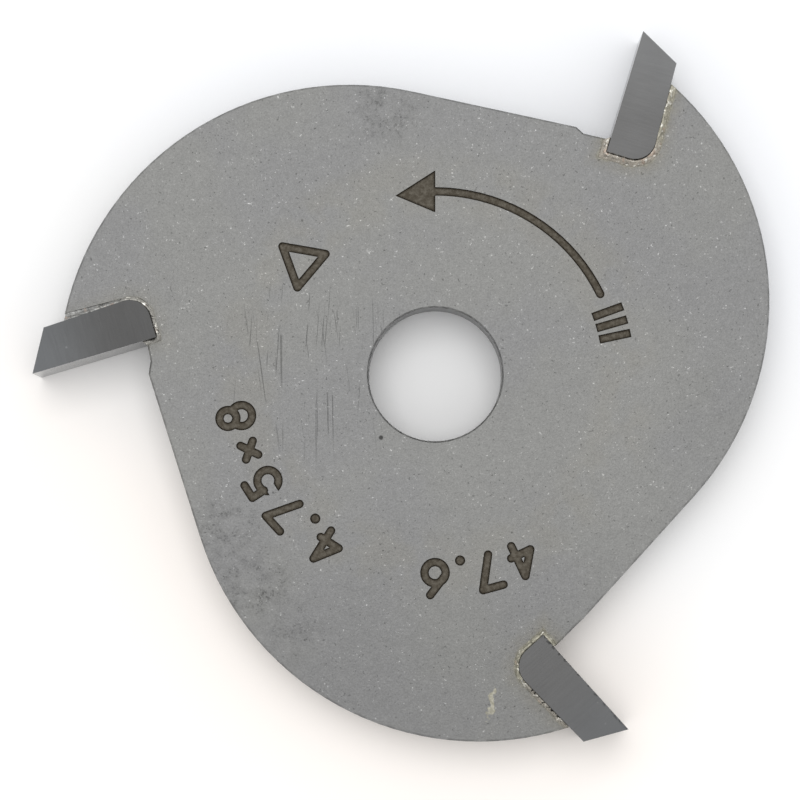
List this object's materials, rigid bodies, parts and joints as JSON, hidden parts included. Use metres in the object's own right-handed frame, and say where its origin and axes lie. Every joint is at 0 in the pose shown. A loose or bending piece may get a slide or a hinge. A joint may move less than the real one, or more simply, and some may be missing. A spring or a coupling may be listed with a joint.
{
  "type": "three-wing slot cutter",
  "caption": "Flat steel slot-cutting disc with carbide tips brazed into its wings and a plain round bore for an arbor.",
  "frame": {"origin": "centre of the arbor bore, midway between the body's two faces", "axes": "+Z along the bore axis, out of the face that carries the etched marks; the cutter turns counterclockwise seen from +Z; the wings' cutting edges lie at about 59, 179 and -61 degrees from +X"},
  "size_m": [0.0436, 0.0421, 0.0048],
  "materials": {
    "blasted_steel": "matt, fine blasted",
    "ground_carbide": "satin, fine ground",
    "silver_braze": "dull, lumpy solder"
  },
  "bodies": {
    "root": {"body_disc": "blasted_steel", "carbide_tip_1": "ground_carbide", "carbide_tip_2": "ground_carbide", "carbide_tip_3": "ground_carbide", "braze_1": "silver_braze", "braze_2": "silver_braze", "braze_3": "silver_braze"}
  },
  "joints": []
}
